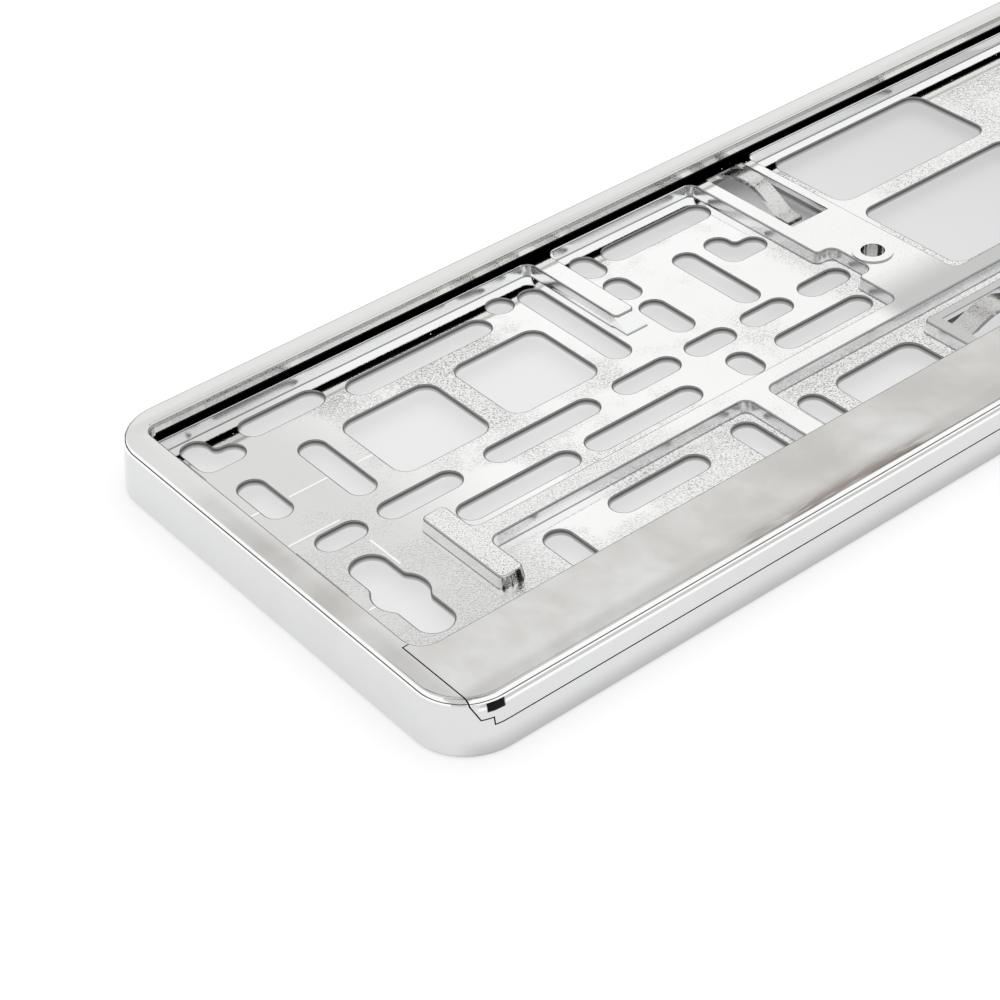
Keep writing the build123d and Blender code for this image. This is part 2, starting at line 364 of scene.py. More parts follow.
@dataclass(frozen=True)
class ErodedGrain(SharedEffect):
    """Fine grain in patches, thicker in the lower half and thin at the ends."""

    takes: Kinds = {"Vector": "Vector", "Least": "Float"}
    gives: Kinds = {"Cover": "Float", "Speck": "Float", "Pit": "Float", "End": "Float"}
    name: str = "eroded_grain"
    grain_noise: Triple = (2400.0, 2.0, 0.0)
    speck_range: Pair = (0.42, 0.66)
    pit_range: Pair = (0.55, 0.64)
    patch_noise: Triple = (38.0, 3.0, 0.0)
    patch_range: Pair = (0.44, 0.74)
    field_end: float = 200.0 * MM
    smooth_end: float = 238.0 * MM
    end_loss: float = -0.8
    lower_half: float = -30.0 * MM
    lower_gain: float = 0.10
    patch_x: Stretch = mm(168.0, 177.0, 215.0, 224.0)
    patch_y: Pair = mm(9.0, 18.0)
    patch_gain: float = 0.16
    middle: Pair = mm(78.0, 110.0)
    middle_gain: float = 0.12
    polished_y: Pair = mm(48.0, 50.0)
    raised: Pair = mm(8.3, 8.5)
    platform_x: Pair = mm(165.0, 200.0)
    platform_share: float = 0.2
    bar_cover: float = 0.8

    def fill(self, sheet: NodeSheet, source: NodeOutputs) -> dict[str, Socket]:
        """Add the grain's nodes.

        Args:
            sheet: The group's node sheet.
            source: What the group takes.

        Returns:
            The grain's cover, its specks and pits, and the smooth ends.
        """
        vector = source["Vector"]
        x, y, z = sheet.split(vector)
        outward = sheet.maths("ABSOLUTE", x)
        floor = sheet.ramp(z, *self.raised, 1.0, 0.0)
        end = sheet.times(sheet.ramp(outward, self.field_end, self.smooth_end), floor)
        inward = sheet.ramp(outward, *self.platform_x, self.platform_share, 1.0)
        allowed = sheet.maths("MAXIMUM", floor, inward)
        bars = sheet.maths("SUBTRACT", sheet.maths("SUBTRACT", inward, floor), self.platform_share)
        gain = sheet.ramp(y, self.lower_half, 0.0, self.lower_gain, 0.0)
        gain = sheet.maths("ADD", gain, sheet.ramp(outward, *self.middle, self.middle_gain, 0.0))
        above = sheet.ramp(y, *self.patch_y)
        patch = sheet.times(sheet.span(outward, *self.patch_x), above, self.patch_gain)
        gain = sheet.maths("ADD", gain, patch)
        broad = sheet.maths("ADD", sheet.noise(vector, *self.patch_noise), gain)
        patches = sheet.times(sheet.ramp(broad, *self.patch_range), allowed)
        patches = sheet.maths("MAXIMUM", patches, sheet.times(bars, self.bar_cover))
        thinning = sheet.maths("MULTIPLY_ADD", end, self.end_loss, 1.0)
        thinned = sheet.times(patches, thinning, sheet.ramp(y, *self.polished_y, 1.0, 0.0))
        cover = sheet.maths("MAXIMUM", thinned, source["Least"])
        fine = sheet.noise(vector, *self.grain_noise)
        speck = sheet.times(sheet.ramp(fine, *self.speck_range), cover)
        pit = sheet.times(sheet.ramp(fine, *self.pit_range), cover)
        return {"Cover": cover, "Speck": speck, "Pit": pit, "End": end}


@dataclass(frozen=True)
class PlateSlot(SharedEffect):
    """The deep slot under the lips that the plate slides into; its mask paints shade inside it."""

    takes: Kinds = {"Vector": "Vector"}
    gives: Kinds = {"Mask": "Float"}
    name: str = "plate_slot"
    opening_x: float = 258.4 * MM
    opening_y: Pair = mm(-44.5, 58.9)
    pocket_x: float = 260.7 * MM
    pocket_y: Pair = mm(-48.5, 62.9)
    depth: Pair = mm(8.7, 11.15)

    def fill(self, sheet: NodeSheet, source: NodeOutputs) -> dict[str, Socket]:
        """Add the slot's nodes.

        Args:
            sheet: The group's node sheet.
            source: What the group takes.

        Returns:
            A mask that is 1 in the slot.
        """
        x, y, z = sheet.split(source["Vector"])
        outward = sheet.maths("ABSOLUTE", x)
        short = sheet.maths("LESS_THAN", outward, self.opening_x)
        opening = sheet.times(short, sheet.between(y, *self.opening_y))
        long = sheet.maths("LESS_THAN", outward, self.pocket_x)
        pocket = sheet.times(long, sheet.between(y, *self.pocket_y))
        beside = sheet.maths("SUBTRACT", 1.0, opening)
        return {"Mask": sheet.times(pocket, beside, sheet.between(z, *self.depth))}


@dataclass(frozen=True)
class PaintedLightBand:
    """A band of painted shade, highlight or reflection between two heights, such as along an edge."""

    height: Pair
    share: Pair
    tone: Triple = (0.02, 0.02, 0.02)
    across: Pair | None = None
    along: Stretch | None = None

    def share_nodes(self, sheet: NodeSheet, place: Socket) -> Socket:
        """Add the band to a material.

        Args:
            sheet: The material's node sheet.
            place: Object coordinates.

        Returns:
            How much of the band's tone each place takes.
        """
        x, y, z = sheet.split(place)
        share = sheet.ramp(z, *self.height, *self.share)
        if self.across:
            share = sheet.times(share, sheet.ramp(y, *self.across))
        if self.along:
            share = sheet.times(share, sheet.span(sheet.maths("ABSOLUTE", x), *self.along))
        return share


@dataclass(frozen=True)
class ChromeFinish:
    """Chrome plating, bright where the mould was polished and grained where it was eroded."""

    name: str
    clean: Triple
    smudged: Triple
    smudge: float
    roughness: Pair
    ripple: float = 0.01
    ripple_noise: Triple = (90.0, 2.0, 0.0)
    grain: float = 0.0
    least_grain: float = 0.0
    pits: float = 0.0
    pit_tone: Triple = (0.10, 0.10, 0.095)
    worn_share: float = 0.0
    worn_tone: Triple = (0.88, 0.88, 0.87)
    end_share: float = 0.0
    end_tone: Triple = (0.66, 0.66, 0.645)
    bands: tuple[PaintedLightBand, ...] = ()
    streaks: float = 0.0
    streak_stretch: Triple = (1.0, 1.0, 0.06)
    streak_noise: Triple = (480.0, 4.0, 0.4)
    streak_range: Pair = (0.46, 0.56)
    streak_height: Pair = mm(5.0, 5.6)
    streak_tone: Triple = (0.03, 0.03, 0.03)
    painted_reflection_share: float = 0.0
    painted_reflection_tone: Triple = (0.40, 0.395, 0.38)
    painted_reflection_noise: Triple = (30.0, 4.0, 0.6)
    painted_reflection_range: Pair = (0.32, 0.62)
    painted_reflection_least: float = 0.35
    outline: Pair = mm(267.0, 67.0)
    painted_reflection_from: Pair = mm(1.4, 3.0)
    painted_reflection_to: Pair = mm(4.8, 8.2)
    upper_shift: float = 3.6 * MM
    upper_painted_reflection: float = 0.45
    stain_tone: Triple = (0.24, 0.185, 0.165)
    stain_x: Stretch = mm(124.0, 140.0, 182.0, 193.0)
    stain_y: Triple = mm(-60.6, -64.2, -65.4)
    stain_front: float = 0.35
    stain_stretch: Triple = (0.16, 1.0, 1.0)
    stain_noise: Triple = (420.0, 4.0, 0.4)
    stain_range: Pair = (0.40, 0.62)
    stain_most: float = 0.85
    slot_shade_tone: Triple = (0.012, 0.012, 0.012)
    slot_roughness: float = 0.42

    def material(self) -> Material:
        """Build the finish once, and give it back afterwards.

        Returns:
            The finish's material.
        """
        if self.name in bpy.data.materials:
            return bpy.data.materials[self.name]
        material, sheet = new_material(self.name)
        place = sheet.coordinates()
        tones = {"Clean": (*self.clean, 1.0), "Smudged": (*self.smudged, 1.0)}
        film = sheet.place(CloudyFilm().group(), Vector=place, Amount=self.smudge, **tones)
        if self.grain:
            color, rough, height = self.grain_nodes(sheet, place, film["Color"])
        else:
            color = film["Color"]
            rough = sheet.ramp(film["Cloud"], 0.0, 1.0, *self.roughness)
            height = sheet.noise(place, *self.ripple_noise)
        # Painted shade, highlight and reflection bands over the base colour.
        for band in self.bands:
            color = sheet.tint(band.share_nodes(sheet, place), color, band.tone)
        if self.streaks:
            color = sheet.tint(self.streak_nodes(sheet, place), color, self.streak_tone)
        # Painted reflection streak along the rim, then the brown stain along the strip's front edge.
        if self.painted_reflection_share:
            color = sheet.tint(self.painted_reflection_nodes(sheet, place), color, self.painted_reflection_tone)
            color = sheet.tint(self.stain_nodes(sheet, place), color, self.stain_tone)
        # Painted shade: the inside of the plate slot is made near black, and rougher.
        slot = sheet.place(PlateSlot().group(), Vector=place)["Mask"]
        relief = {"Height": height, "Distance": MM, "Strength": self.grain or self.ripple}
        looks = {
            "Base Color": sheet.tint(slot, color, self.slot_shade_tone),
            "Metallic": 1.0,
            "Roughness": sheet.maths("MAXIMUM", rough, sheet.times(slot, self.slot_roughness)),
            "Normal": sheet.add("ShaderNodeBump", relief).outputs["Normal"],
        }
        sheet.surface(sheet.add("ShaderNodeBsdfPrincipled", looks).outputs["BSDF"])
        return material

    def streak_nodes(self, sheet: NodeSheet, place: Socket) -> Socket:
        """Add upright dark streaks to a wall.

        Args:
            sheet: The material's node sheet.
            place: Object coordinates.

        Returns:
            How dark each place is.
        """
        noise = sheet.streaks(place, self.streak_stretch, self.streak_noise)
        dark = sheet.ramp(noise, *self.streak_range, 0.0, self.streaks)
        return sheet.times(dark, sheet.ramp(sheet.split(place)[2], *self.streak_height))

    def painted_reflection_nodes(self, sheet: NodeSheet, place: Socket) -> Socket:
        """Add a painted reflection: the darker streak that runs along the rim, a little in from its outer
        edge.

        Args:
            sheet: The material's node sheet.
            place: Object coordinates.

        Returns:
            How dull each place is.
        """
        x, y = sheet.split(place)[:2]
        end, side = self.outline
        upper = sheet.ramp(y, 0.0, side / 2.0, side, side - self.upper_shift)
        end_gap = sheet.maths("SUBTRACT", end, sheet.maths("ABSOLUTE", x))
        side_gap = sheet.maths("SUBTRACT", upper, sheet.maths("ABSOLUTE", y))
        inset = sheet.maths("MINIMUM", end_gap, side_gap)
        return sheet.times(
            sheet.ramp(inset, *self.painted_reflection_from, 0.0, self.painted_reflection_share),
            sheet.ramp(inset, *self.painted_reflection_to, 1.0, 0.0),
            sheet.ramp(y, 0.0, side / 2.0, 1.0, self.upper_painted_reflection),
            sheet.ramp(sheet.noise(place, *self.painted_reflection_noise), *self.painted_reflection_range, self.painted_reflection_least, 1.0),
        )

    def stain_nodes(self, sheet: NodeSheet, place: Socket) -> Socket:
        """Add the thin brown stain along the strip's front edge.

        Args:
            sheet: The material's node sheet.
            place: Object coordinates.

        Returns:
            How stained each place is.
        """
        x, y = sheet.split(place)[:2]
        behind, middle, front = self.stain_y
        uneven = sheet.streaks(place, self.stain_stretch, self.stain_noise)
        return sheet.times(
            sheet.ramp(uneven, *self.stain_range, 0.0, self.stain_most),
            sheet.span(sheet.maths("ABSOLUTE", x), *self.stain_x),
            sheet.ramp(y, behind, middle),
            sheet.ramp(y, middle, front, 1.0, self.stain_front),
        )

    def grain_nodes(self, sheet: NodeSheet, place: Socket, color: Socket) -> tuple[Socket, ...]:
        """Add the eroded grain and its darker pits.

        Args:
            sheet: The material's node sheet.
            place: Object coordinates.
            color: The colour under the grain.

        Returns:
            The colour, the roughness and the grain's height.
        """
        grain = sheet.place(ErodedGrain().group(), Vector=place, Least=self.least_grain)
        color = sheet.tint(sheet.times(grain["End"], self.end_share), color, self.end_tone)
        color = sheet.tint(sheet.times(grain["Cover"], self.worn_share), color, self.worn_tone)
        color = sheet.tint(sheet.times(grain["Pit"], self.pits), color, self.pit_tone)
        return color, sheet.ramp(grain["Cover"], 0.0, 1.0, *self.roughness), grain["Speck"]


@dataclass(frozen=True)
class EvenZone:
    """A pair of rectangles that lie even about the middle of the holder."""

    x: Pair
    y: Pair

    def holds(self, x: np.ndarray, y: np.ndarray) -> np.ndarray:
        """Say which places are inside, by their distance from the middle and their Y."""
        return (x > self.x[0]) & (x < self.x[1]) & (y > self.y[0]) & (y < self.y[1])


@dataclass(frozen=True)
class Corners:
    """The vertex, the edge and the face of every face corner of a mesh."""

    vertex: np.ndarray
    edge: np.ndarray
    face: np.ndarray

    def face_pairs(self) -> tuple[np.ndarray, np.ndarray]:
        """Find the two faces on each edge.

        Returns:
            The first and the second face of each shared edge.
        """
        order = np.argsort(self.edge, kind="stable")
        edges = self.edge[order]
        shared = np.nonzero(edges[1:] == edges[:-1])[0]
        return self.face[order[shared]], self.face[order[shared + 1]]


@dataclass
class PlatedMoulding:
    """One moulding: a welded copy of its solid, shaded as smooth plating."""

    node: str
    body: str
    slot: str
    finishes: tuple[ChromeFinish, ...]
    weld: float = 0.002 * MM
    flat_angle: float = math.radians(0.6)
    crease_angle: float = math.radians(22.0)
    round_angle: float = math.radians(52.0)
    round_width: float = 0.75 * MM
    area_power: float = 1.5
    steep_rise: float = 0.8
    upright_rise: float = 0.3
    level_rise: float = 0.999
    facing: float = 0.5
    grain_tolerance: float = 0.03 * MM
    inner_x: float = 258.0 * MM
    inner_top: float = 58.6 * MM
    inner_bottom: float = -50.0 * MM
    inner_level: float = 12.5 * MM
    lip_x: float = 258.9 * MM
    lip_y: float = 59.4 * MM
    lip_height: Pair = mm(10.75, 13.9)
    hollow_x: float = 262.0 * MM
    hollow_y: float = 63.0 * MM
    hollow_top: float = 10.0 * MM
    tongue_foot: float = 5.8 * MM
    highlight_top: float = 12.4 * MM
    highlight_x: float = 263.0 * MM
    polished_y: float = 63.0 * MM
    highlight_rise: Pair = (0.12, 0.9)
    line_height: Pair = mm(5.71, 5.99)
    line_x: float = 150.0 * MM
    bore_place: Pair = BORE_PLACE
    bore_reach: float = 3.5 * MM
    hook_tip: EvenZone = EvenZone(mm(221.0, 229.5), mm(-34.6, -32.4))
    edge_top: float = 5.35 * MM
    skirt_top: float = 12.6 * MM
    tongues: tuple[EvenZone, ...] = (
        EvenZone(mm(81.0, 86.0), mm(25.0, 57.2)),
        EvenZone(mm(60.4, 92.6), mm(-37.9, -31.5)),
    )
    piece: Object = field(init=False)

    def build(self) -> None:
        """Make the piece's mesh and put it in place of its solid."""
        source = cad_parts[self.node].data.copy()
        source.name = f"{self.node}_plated"
        self.piece = new_object(f"{self.node}_plated", source)
        self.weld_skin()
        self.dress()
        self.shade()
        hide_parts(self.node)
        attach(self.piece, self.body)
        LOG.info("%s: %d faces", self.piece.name, len(self.piece.data.polygons))

    def weld_skin(self) -> None:
        """Join the solid's loose triangles along their common edges."""
        mesh = self.piece.data
        for layer in list(mesh.uv_layers):
            mesh.uv_layers.remove(layer)
        modifier = self.piece.modifiers.new("weld", "WELD")
        modifier.merge_threshold = self.weld
        bake(self.piece)

    def dress(self) -> None:
        """Give each face the finish of the place where it lies."""
        mesh = self.piece.data
        mesh.materials.clear()
        for finish in self.finishes:
            mesh.materials.append(finish.material())
        slots = self.choose_finish(read(mesh.polygons, "normal", 3), read(mesh.polygons, "center", 3))
        mesh.polygons.foreach_set("material_index", slots.astype(np.int32))

    def choose_finish(self, normals: np.ndarray, centres: np.ndarray) -> np.ndarray:
        """Choose a finish for each face by where it lies and which way it looks.

        Args:
            normals: One normal for each face.
            centres: One middle point for each face.

        Returns:
            The number of each face's finish.
        """
        x = np.abs(centres[:, 0])
        y = centres[:, 1]
        z = centres[:, 2]
        rise = normals[:, 2]
        steep = np.abs(rise) < self.steep_rise
        slots = np.full(len(z), Plating.OUTER.value)
        slots[(z < self.skirt_top) & steep] = Plating.SKIRT.value
        inner = (x < self.inner_x) & (y < self.inner_top) & (y > self.inner_bottom)
        slots[inner & (z < self.inner_level)] = Plating.INNER.value
        # Walls below the floor's top take a darker copy of the chrome: painted shade.
        slots[inner & (z < self.edge_top)] = Plating.EDGE.value
        lip = (x < self.lip_x) & (y < self.lip_y) & (y > self.inner_bottom)
        lip &= (z > self.lip_height[0]) & (z < self.lip_height[1])
        slots[lip & (np.abs(rise) < self.upright_rise)] = Plating.TEXTURED.value
        for level in Level:
            near = np.abs(z - level.value) < self.grain_tolerance
            slots[near & (rise > self.level_rise)] = Plating.GRAINED.value
        for zone in self.tongues:
            slots[zone.holds(x, y) & (rise > self.facing) & (z > self.tongue_foot)] = Plating.SPRING.value
        # Rounded edges of the rim take the brightest chrome as a painted highlight; the raised lines on
        # the floor's outer parts take the same bright chrome.
        polished = (rise > self.highlight_rise[0]) & (rise < self.highlight_rise[1])
        polished &= (z > self.highlight_top) & ((x > self.highlight_x) | (np.abs(y) > self.polished_y))
        polished |= (z > self.line_height[0]) & (z < self.line_height[1]) & (x > self.line_x)
        bore = np.hypot(x - self.bore_place[0], y - self.bore_place[1]) < self.bore_reach
        slots[polished] = Plating.POLISHED_HIGHLIGHT.value
        tip = self.hook_tip.holds(x, y) & (normals[:, 1] < -self.facing) & (z < self.inner_level)
        slots[(bore | tip) & steep] = Plating.STREAKED.value
        looks_in = centres[:, 0] * normals[:, 0] + centres[:, 1] * normals[:, 1] < 0.0
        skirt = ((x > self.hollow_x) | (np.abs(y) > self.hollow_y)) & (z < self.hollow_top)
        slots[skirt & looks_in & (np.abs(rise) < self.facing)] = Plating.BACK.value
        slots[rise < -self.facing] = Plating.BACK.value
        return slots

    def shade(self) -> None:
        """Shade round edges smoothly while flat faces keep one true normal each."""
        mesh = self.piece.data
        faces = len(mesh.polygons)
        mesh.polygons.foreach_set("use_smooth", np.ones(faces, bool))
        normals = read(mesh.polygons, "normal", 3)
        areas = read(mesh.polygons, "area")
        corners = Corners(
            read(mesh.loops, "vertex_index", kind=np.int32),
            read(mesh.loops, "edge_index", kind=np.int32),
            np.repeat(np.arange(faces), read(mesh.polygons, "loop_total", kind=np.int32)),
        )
        region = self.flat_regions(normals, corners)
        region_area = np.bincount(region, weights=areas, minlength=faces)
        width = self.region_widths(mesh, region, region_area, corners)
        weight = region_area[region] ** self.area_power
        narrow = width[region] < self.round_width
        blended = self.corner_normals(normals, weight, narrow, corners)
        mesh.normals_split_custom_set(blended.tolist())

    def flat_regions(self, normals: np.ndarray, corners: Corners) -> np.ndarray:
        """Group the faces that lie in one plane and touch.

        Args:
            normals: One normal for each face.
            corners: The mesh's corners.

        Returns:
            A region number for each face.
        """
        first, second = corners.face_pairs()
        level = np.einsum("ij,ij->i", normals[first], normals[second]) > math.cos(self.flat_angle)
        parent = list(range(len(normals)))

        def root(face: int) -> int:
            """Follow a face to the first face of its region.

            Args:
                face: The face's number.

            Returns:
                The first face's number.
            """
            while parent[face] != face:
                parent[face] = parent[parent[face]]
                face = parent[face]
            return face

        for one, other in zip(first[level].tolist(), second[level].tolist()):
            parent[root(one)] = root(other)
        return np.array([root(face) for face in range(len(normals))])

    @staticmethod
    def region_widths(
        mesh: Mesh, region: np.ndarray, region_area: np.ndarray, corners: Corners
    ) -> np.ndarray:
        """Work out about how wide each flat region is.

        Args:
            mesh: The welded mesh.
            region: The region of each face.
            region_area: The area of each region.
            corners: The mesh's corners.

        Returns:
            Twice the area over the outline's length, for each region.
        """
        points = read(mesh.vertices, "co", 3)
        ends = read(mesh.edges, "vertices", 2, np.int32)
        lengths = np.linalg.norm(points[ends[:, 0]] - points[ends[:, 1]], axis=1)
        order = np.lexsort((region[corners.face], corners.edge))
        edges = corners.edge[order]
        regions = region[corners.face[order]]
        inner = np.zeros(len(order), bool)
        same = (edges[1:] == edges[:-1]) & (regions[1:] == regions[:-1])
        inner[1:] |= same
        inner[:-1] |= same
        outline = np.bincount(regions[~inner], weights=lengths[edges[~inner]], minlength=len(region_area))
        return 2.0 * region_area / np.maximum(outline, 1e-9)

    def corner_normals(
        self, normals: np.ndarray, weight: np.ndarray, narrow: np.ndarray, corners: Corners
    ) -> np.ndarray:
        """Blend the normals round each vertex, large flat faces first.

        Args:
            normals: One normal for each face.
            weight: How much each face counts.
            narrow: Whether each face is a strip of a round edge.
            corners: The mesh's corners.

        Returns:
            One normal for each corner.
        """
        result = np.empty((len(corners.vertex), 3))
        order = np.argsort(corners.vertex, kind="stable")
        breaks = np.nonzero(np.diff(corners.vertex[order]))[0] + 1
        crease = math.cos(self.crease_angle)
        rounded = math.cos(self.round_angle)
        for fan in np.split(order, breaks):
            around = corners.face[fan]
            local = normals[around]
            agree = local @ local.T
            strips = narrow[around][:, None] | narrow[around][None, :]
            joined = (agree > crease) | (strips & (agree > rounded))
            blend = (joined * weight[around][None, :]) @ local
            result[fan] = blend / np.linalg.norm(blend, axis=1)[:, None]
        return result


@dataclass
class PlatingBeads:
    """Tiny beads of plating on the grained faces, scattered by Geometry Nodes."""

    carrier: Object
    body: str
    slot: str
    finish: ChromeFinish
    density: float = 52000.0
    seed: int = 11
    smallest: float = 0.07 * MM
    largest: float = 0.17 * MM
    cluster_noise: Triple = (30.0, 3.0, 0.0)
    cluster_range: Pair = (0.42, 0.7)
    cluster_share: Pair = (0.1, 1.0)
    piece: Object = field(init=False)

    def build(self) -> None:
        """Scatter the beads, bake them and set them on the carrier's body."""
        self.piece = new_object("plating_beads", self.carrier_faces())
        modifier = self.piece.modifiers.new("scatter", "NODES")
        tree = self.scatter_tree()
        values = {
            "Density": self.density,
            "Seed": self.seed,
            "Smallest": self.smallest,
            "Largest": self.largest,
            "Finish": self.finish.material(),
        }
        modifier.node_group = tree
        for socket in tree.interface.items_tree:
            if socket.name in values:
                modifier[socket.identifier] = values[socket.name]
        bake(self.piece)
        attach(self.piece, self.body)
        LOG.info("%s: %d faces", self.piece.name, len(self.piece.data.polygons))

    def carrier_faces(self) -> Mesh:
        """Copy the carrier's grained faces.

        Returns:
            A mesh of those faces alone.
        """
        mesh = bpy.data.meshes.new("plating_beads")
        work = bmesh.new()
        work.from_mesh(self.carrier.data)
        spare = [face for face in work.faces if face.material_index != Plating.GRAINED.value]
        bmesh.ops.delete(work, geom=spare, context="FACES")
        work.to_mesh(mesh)
        work.free()
        return mesh

    def scatter_tree(self) -> NodeTree:
        """Build the tree that sets a bead of chance size on each of many points.

        Returns:
            The tree with inputs Geometry, Density, Seed, Smallest, Largest and Finish.
        """
        tree = bpy.data.node_groups.new("scatter_beads", "GeometryNodeTree")
        takes = {
            "Geometry": "Geometry",
            "Density": "Float",
            "Seed": "Int",
            "Smallest": "Float",
            "Largest": "Float",
            "Finish": "Material",
        }
        add_sockets(tree, takes, {"Geometry": "Geometry"})
        sheet = NodeSheet(tree)
        source = sheet.add("NodeGroupInput").outputs
        seed = source["Seed"]
        cluster = sheet.noise(sheet.add("GeometryNodeInputPosition").outputs[0], *self.cluster_noise)
        share = sheet.ramp(cluster, *self.cluster_range, *self.cluster_share)
        density = sheet.times(source["Density"], share)
        spread = {"Mesh": source["Geometry"], "Density": density, "Seed": seed}
        points = sheet.add("GeometryNodeDistributePointsOnFaces", spread)
        bead = sheet.add("GeometryNodeMeshIcoSphere", {"Radius": 1.0, "Subdivisions": 1})
        sizes = {2: source["Smallest"], 3: source["Largest"], "Seed": seed}
        size = sheet.add("FunctionNodeRandomValue", sizes, data_type="FLOAT")
        setting = {
            "Points": points.outputs["Points"],
            "Instance": bead.outputs["Mesh"],
            "Scale": size.outputs[1],
        }
        beads = sheet.add("GeometryNodeInstanceOnPoints", setting).outputs["Instances"]
        beads = sheet.add("GeometryNodeRealizeInstances", {"Geometry": beads}).outputs["Geometry"]
        beads = sheet.add("GeometryNodeSetShadeSmooth", {"Geometry": beads}).outputs["Geometry"]
        dressed = {"Geometry": beads, "Material": source["Finish"]}
        beads = sheet.add("GeometryNodeSetMaterial", dressed).outputs["Geometry"]
        sheet.add("NodeGroupOutput", {"Geometry": beads})
        return tree


class ReflectedShade:
    """Something on the stage that only reflections show."""

    name: str

    def level(self, sheet: NodeSheet, place: Socket) -> Socket:
        """Add the nodes that say how bright each place is, and give the brightness."""
        raise NotImplementedError

    def hang(self, mesh: Mesh) -> Object:
        """Give a mesh its glow, and hide it from all but reflections.

        Args:
            mesh: The mesh to show.

        Returns:
            The mesh's object.
        """
        material, sheet = new_material(self.name)
        glow = sheet.add("ShaderNodeEmission", {"Strength": self.level(sheet, sheet.coordinates())})
        sheet.surface(glow.outputs["Emission"])
        mesh.materials.append(material)
        shade = new_object(self.name, mesh)
        shade.visible_camera = False
        shade.visible_diffuse = False
        shade.visible_shadow = False
        return shade


@dataclass(frozen=True)
class Card(ReflectedShade):
    """An upright studio card bent round the holder."""

    name: str
    radius: float
    turn: Pair
    height: Pair
    tone: Pair
    steps: int = 48
    cloud_noise: Triple = (2.2, 3.0, 0.5)
    cloud_range: Pair = (0.3, 0.7)
    cloud_level: Pair = (0.93, 1.07)

    def build(self) -> None:
        """Make the card and put it in the scene."""
        low, high = self.height
        points = []
        for step in range(self.steps + 1):
            angle = math.radians(self.turn[0] + (self.turn[1] - self.turn[0]) * step / self.steps)
            x = self.radius * math.cos(angle)
            y = self.radius * math.sin(angle)
            points.append((x, y, low))
            points.append((x, y, high))
        faces = [(2 * step + 2, 2 * step, 2 * step + 1, 2 * step + 3) for step in range(self.steps)]
        mesh = bpy.data.meshes.new(self.name)
        mesh.from_pydata(points, [], faces)
        card = self.hang(mesh)

    def level(self, sheet: NodeSheet, place: Socket) -> Socket:
        """Go from the tone at the card's foot to the tone at its top, a little clouded."""
        cloud = sheet.ramp(sheet.noise(place, *self.cloud_noise), *self.cloud_range, *self.cloud_level)
        return sheet.times(sheet.ramp(sheet.split(place)[2], *self.height, *self.tone), cloud)


@dataclass(frozen=True)
class CeilingDisc(ReflectedShade):
    """A round shade high over the holder that fades out at its edge."""

    name: str = "ceiling_disc"
    radius: float = 1.3
    height: float = 2.6
    tone: float = 0.38
    inner: float = 0.12
    sides: int = 64

    def build(self) -> None:
        """Make the disc and put it in the scene."""
        work = bmesh.new()
        bmesh.ops.create_circle(work, cap_ends=True, radius=self.radius, segments=self.sides)
        bmesh.ops.reverse_faces(work, faces=work.faces)
        bmesh.ops.translate(work, verts=work.verts, vec=(0.0, 0.0, self.height))
        mesh = bpy.data.meshes.new(self.name)
        work.to_mesh(mesh)
        work.free()
        disc = self.hang(mesh)

    def level(self, sheet: NodeSheet, place: Socket) -> Socket:
        """Go from the disc's own tone in the middle to white at the edge.

        Args:
            sheet: The material's node sheet.
            place: Object coordinates.

        Returns:
            The strength of the glow.
        """
        x, y = sheet.split(place)[:2]
        reach = sheet.maths("SQRT", sheet.maths("MULTIPLY_ADD", x, x, sheet.times(y, y)))
        return sheet.ramp(reach, self.inner, self.radius, self.tone, 1.0)


